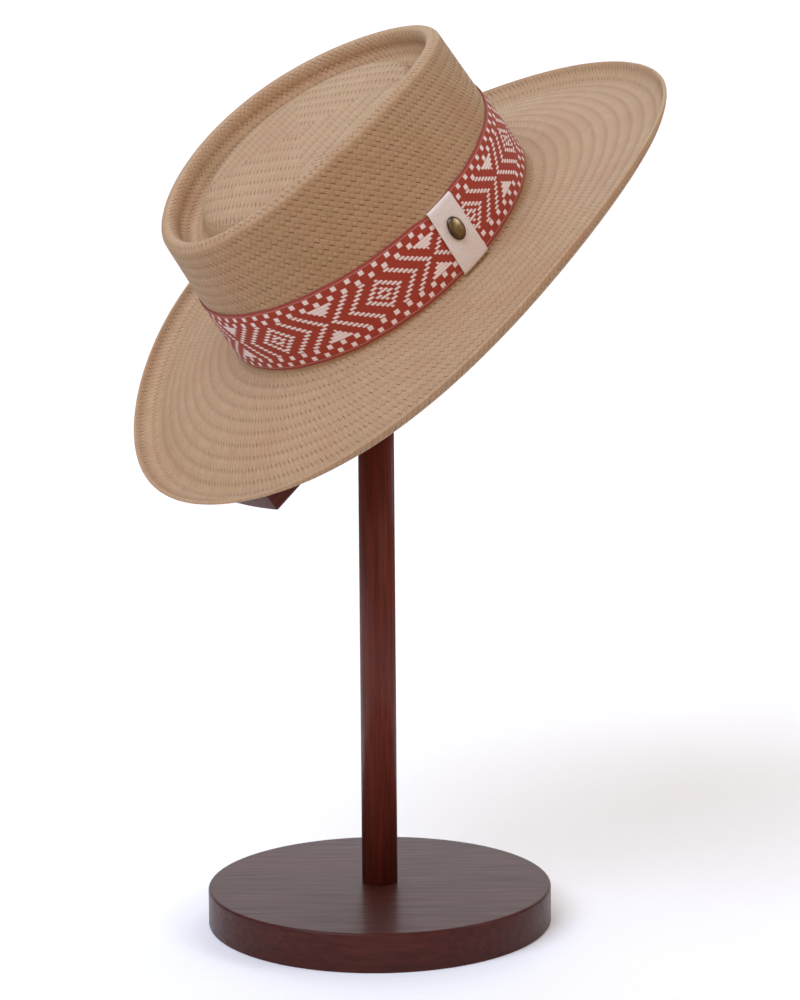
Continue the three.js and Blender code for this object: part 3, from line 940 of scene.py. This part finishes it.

# %% [markdown]
# ## Stained wood
#
# The stand is beech, turned and sawn, stained dark red-brown and finished
# with a satin varnish. The stain sinks deeper into the early wood, so the
# grain shows as darker lines 1 to 3 mm apart, and the short flecks of beech
# show as fine dashes along it. The varnish gives a soft reflection over the
# top of that, drawn with the shader's coat.
#
# The grain runs along each piece, so each gets the same recipe turned its
# own way. All pieces took the same stain; the foot's colour is darkened as
# painted shade and the post's lightened as painted light. The turn comes
# from a Mapping node, because the finished pieces themselves are never turned.

# %% Wood material: one recipe, turned for each piece
def stained_beech(name, grain_turn, painted_lighting):
    """Beech with its grain along X after grain_turn. Its colour is scaled up or down to paint light or
    shade onto the piece.
    """
    material, t = new_material(name)
    object_place = add(t, "ShaderNodeTexCoord").outputs["Object"]
    turned = add(t, "ShaderNodeMapping", {"Vector": object_place, "Rotation": grain_turn},
                 vector_type="POINT")
    long_place = add(t, VECTOR, [turned, (0.05, 1.0, 1.0)], "MULTIPLY")
    bend = add(t, NOISE, {"Vector": long_place, "Scale": 30.0, "Detail": 2.0})
    years = add(t, NOISE, {"Vector": long_place, "Scale": 420.0, "Detail": 4.0})
    fleck_place = add(t, VECTOR, [turned, (0.07, 1.0, 1.0)], "MULTIPLY")
    flecks = add(t, NOISE, {"Vector": fleck_place, "Scale": 900.0, "Detail": 2.0})
    clouds = add(t, NOISE, {"Vector": object_place, "Scale": 14.0, "Detail": 2.0})

    grain = add(t, RAMP, [years], colours=[(0.32, "#472019"), (0.68, "#5E2A20")])
    bend_shade = add(t, RANGE, [bend, 0.3, 0.7, 0.85 * painted_lighting, 1.1 * painted_lighting])
    shaded = add(t, VECTOR, {0: grain, "Scale": bend_shade}, "SCALE")
    fleck = add(t, RANGE, [flecks, 0.56, 0.7, 0.0, 0.35], **SMOOTH)
    flecked = add(t, MIX, [fleck, shaded, linear("#331512")], data_type="RGBA")
    cloud = add(t, RANGE, [clouds, 0.35, 0.7, 0.0, 0.22], **SMOOTH)
    clouded = add(t, MIX, [cloud, flecked, linear("#421C18")], data_type="RGBA")
    satin = add(t, RANGE, [years, 0.3, 0.7, 0.5, 0.4])
    relief = add(t, "ShaderNodeBump", {"Height": flecks, "Strength": 0.1, "Distance": 0.0002})
    shader = add(t, "ShaderNodeBsdfPrincipled", {
        "Base Color": clouded, "Roughness": satin, "Normal": relief, "IOR": 1.5,
        "Specular IOR Level": 0.1, "Coat Weight": 0.22, "Coat Roughness": 0.2, "Coat IOR": 1.4})
    add(t, "ShaderNodeOutputMaterial", {"Surface": shader})
    return material


# Painted shade on the foot and painted light on the post: the same stain, scaled darker and lighter.
wood_across = stained_beech("stained_beech_foot", (0, 0, 0), 0.58)
wood_upright = stained_beech("stained_beech_post", (0, pi / 2, 0), 1.36)
hat_turn = HAT_FRAME.to_3x3().normalized()
wood_tilted = stained_beech("stained_beech_board", tuple(hat_turn.inverted().to_euler("XYZ")), 1.0)
peg_turn = Matrix.Rotation(pi / 2, 3, "Y") @ hat_turn.inverted()
wood_peg = stained_beech("stained_beech_peg", tuple(peg_turn.to_euler("XYZ")), 1.0)
print("beech turned four ways")

# %% [markdown]
# ## The foot and the post
#
# The foot is a disc turned on a lathe, its upper edge eased so that it
# doesn't chip. The post is a round rod that stands on it. Its top is sawn on
# the slant, because it carries a board that lies at the angle of the hat. The
# post is made too long and cut with a plane, as a maker would cut it.

# %% Helper: an upright rod or disc
def rod(radius, low, high, segments, middle=(0, 0)):
    """A new mesh with a rod in it, from one height to another, closed at both ends."""
    mesh = bmesh.new()
    bmesh.ops.create_cone(mesh, cap_ends=True, cap_tris=False, segments=segments,
                          radius1=radius, radius2=radius, depth=high - low,
                          matrix=Matrix.Translation((*middle, (low + high) / 2)))
    return mesh


# %% The foot
FOOT_RADIUS, FOOT_HEIGHT = 0.100, 0.0215
FOOT_EDGE, FOOT_UNDER_EDGE = 0.0014, 0.001

foot_mesh = rod(FOOT_RADIUS, 0, FOOT_HEIGHT, 192)
upper = [e for e in foot_mesh.edges if all(v.co.z > FOOT_HEIGHT * 0.9 for v in e.verts)]
round_off(foot_mesh, upper, FOOT_EDGE, 6)
lower = [e for e in foot_mesh.edges if all(v.co.z < 0.0001 for v in e.verts)]
round_off(foot_mesh, lower, FOOT_UNDER_EDGE, 3)
caps = [f for f in foot_mesh.faces if len(f.verts) > 10]
bmesh.ops.inset_individual(foot_mesh, faces=caps, thickness=0.0006)
finish("round_foot", foot_mesh, wood_across, "stand_base", place=Matrix())

# %% The post
POST_RADIUS, UNCUT_POST = 0.0104, 0.6
BOARD_BOTTOM = -0.045  # below the hat's middle, in the hat's own frame

head_up = hat_turn @ Vector((0, 0, 1))
hat_middle = HAT_FRAME.translation
board_under = hat_middle + head_up * (BOARD_BOTTOM - GAP / 1000)
post_foot = FOOT_HEIGHT + GAP / 1000

post_mesh = rod(POST_RADIUS, post_foot, post_foot + UNCUT_POST, 96)
whole_post = post_mesh.verts[:] + post_mesh.edges[:] + post_mesh.faces[:]
cut = bmesh.ops.bisect_plane(post_mesh, geom=whole_post, plane_co=board_under, plane_no=head_up,
                             clear_outer=True)["geom_cut"]
bmesh.ops.edgeloop_fill(post_mesh, edges=[g for g in cut if isinstance(g, bmesh.types.BMEdge)])
ends = [f for f in post_mesh.faces if len(f.verts) > 10]
bmesh.ops.inset_individual(post_mesh, faces=ends, thickness=0.0003)
bmesh.ops.recalc_face_normals(post_mesh, faces=post_mesh.faces)
print("post top, mm:", round(1000 * max(v.co.z for v in post_mesh.verts), 1))
finish("upright_post", post_mesh, wood_upright, "stand_post", place=Matrix())

# %% [markdown]
# ## The board and the peg
#
# Under the brim lies a thick board with slightly bowed ends, nearly square to
# the hat. The dip of the brim rests on its front end. A peg stands on it and
# ends just under the crown's top, so that the hat can't slide off. Both start
# as the plainest shapes, whose ends and edges are then worked as wood is.

# %% The board
BOARD_LENGTH, BOARD_WIDTH, BOARD_THICK, BOARD_END_RADIUS = 226, 53, 25, 300
BOARD_EDGE, BOARD_END_STEPS = 1.0, 12
BOARD_TURN = radians(-4.2)
post_top = HAT_FRAME.inverted() @ Vector((0, 0, hat_middle.z + (
    (BOARD_BOTTOM - GAP / 1000) + head_up.x * hat_middle.x + head_up.y * hat_middle.y) / head_up.z))

board_mesh = bmesh.new()
bmesh.ops.create_cube(board_mesh, size=1)
bmesh.ops.scale(board_mesh, vec=(BOARD_LENGTH, BOARD_WIDTH, BOARD_THICK), verts=board_mesh.verts)
ends = [e for e in board_mesh.edges if abs(e.verts[0].co.y - e.verts[1].co.y) > 1]
bmesh.ops.subdivide_edges(board_mesh, edges=ends, cuts=BOARD_END_STEPS - 1, use_grid_fill=True)
flat_end = BOARD_END_RADIUS * cos(asin(BOARD_WIDTH / 2 / BOARD_END_RADIUS))
for vertex in board_mesh.verts:
    if abs(vertex.co.x) > BOARD_LENGTH / 2 - 0.1:
        bulge = sqrt(BOARD_END_RADIUS ** 2 - vertex.co.y ** 2) - flat_end
        vertex.co.x += copysign(bulge, vertex.co.x)
sharp = [e for e in board_mesh.edges if e.calc_face_angle(0) > 0.8]
round_off(board_mesh, sharp, BOARD_EDGE, 3)
bmesh.ops.recalc_face_normals(board_mesh, faces=board_mesh.faces)
board_place = (Matrix.Translation((post_top.x, post_top.y, 1000 * BOARD_BOTTOM + BOARD_THICK / 2))
               @ Matrix.Rotation(BOARD_TURN, 4, "Z"))
finish("tilted_board", board_mesh, wood_tilted, "stand_board",
       place=HAT_FRAME @ board_place, smooth=False)

# %% The peg
PEG_RADIUS = 9
PEG_ROUNDING = 0.93 * PEG_RADIUS
peg_low = 1000 * BOARD_BOTTOM + BOARD_THICK + GAP
peg_high = TOP_RINGS[0][2] - STRAW - GAP

peg_mesh = rod(PEG_RADIUS, peg_low, peg_high, 64, middle=(RIM["x"], RIM["y"]))
crown_edge = [e for e in peg_mesh.edges if all(v.co.z > peg_high - 0.1 for v in e.verts)]
round_off(peg_mesh, crown_edge, PEG_ROUNDING, 10)
finish("crown_peg", peg_mesh, wood_peg, "stand_peg")
print("peg, mm:", round(peg_high - peg_low, 1))

# %% [markdown]
# ## The studio
#
# A pale sheet runs from under the stand up the wall behind it in one curve,
# so that no line shows where the floor ends. Two planes could do, but their
# corner would show. A large soft light, a little blue, hangs above on the
# left and in front. A weak warm one fills from the front, a pale one from the
# right, and a fourth is aimed at the backdrop. The room's own pale light does
# the rest.

# %% Floor and backdrop
paper, t = new_material("studio_paper_pale")
object_place = add(t, "ShaderNodeTexCoord").outputs["Object"]
pulp = add(t, NOISE, {"Vector": object_place, "Scale": 300.0, "Detail": 2.0})
pale = add(t, RAMP, [pulp], colours=[(0, "#FBFBFB"), (1, "#FEFEFE")])
shader = add(t, "ShaderNodeBsdfPrincipled", {
    "Base Color": pale, "Roughness": 0.9, "Specular IOR Level": 0.1})
add(t, "ShaderNodeOutputMaterial", {"Surface": shader})

FLOOR_HALF_WIDTH, FLOOR_FRONT, FLOOR_BACK = 1.6, -0.35, 1.4
BEND_RADIUS, BEND_STEPS, WALL_TOP = 0.7, 12, 3.2

bend_angles = [pi / 2 * k / BEND_STEPS for k in range(BEND_STEPS + 1)]
sweep = [(FLOOR_FRONT, 0)]
sweep += [(FLOOR_BACK + BEND_RADIUS * sin(a), BEND_RADIUS * (1 - cos(a))) for a in bend_angles]
sweep.append((FLOOR_BACK + BEND_RADIUS, WALL_TOP))
floor_mesh, _, _ = grow_through(
    [[(x, y, z) for x in (-FLOOR_HALF_WIDTH, FLOOR_HALF_WIDTH)] for y, z in sweep], closed=False)
bmesh.ops.recalc_face_normals(floor_mesh, faces=floor_mesh.faces)
floor = make_object("studio_sweep", floor_mesh, paper)
print("backdrop faces:", len(floor.data.polygons))

# %% Lights
def soft_light(name, place, aim, size, watts, colour):
    """A rectangular lamp at a place, turned to what it is aimed at."""
    data = bpy.data.lights.new(name, "AREA")
    data.shape = "RECTANGLE"
    data.size, data.size_y = size
    data.energy = watts
    data.color = linear(colour)[:3]
    lamp = bpy.data.objects.new(name, data)
    lamp.location = place
    lamp.rotation_euler = (Vector(aim) - Vector(place)).to_track_quat("-Z", "Y").to_euler()
    bpy.context.scene.collection.objects.link(lamp)
    print(name, watts, "W")


soft_light("overhead_softbox", (-1.1, -1.4, 1.9), (0, 0, 0.35), (1.8, 1.6), 57, "#D6E4FF")
soft_light("front_softbox", (0.1, -2.0, 0.4), (0, 0, 0.3), (1.2, 1.0), 8, "#FFB478")
soft_light("right_softbox", (1.9, -0.5, 1.5), (0, 0, 0.5), (0.9, 0.9), 13, "#F6F6FF")
soft_light("backdrop_softbox", (0, 0.9, 2.4), (0, 2.1, 1.0), (2.4, 0.6), 25, "#FFFFFF")

world = bpy.data.worlds.new("pale_room")
world.use_nodes = True
world.node_tree.nodes.clear()
room = add(world.node_tree, "ShaderNodeBackground", {"Color": linear("#FFF5EB"), "Strength": 0.34})
add(world.node_tree, "ShaderNodeOutputWorld", {"Surface": room})
bpy.context.scene.world = world
bpy.context.scene.view_settings.view_transform = "Standard"
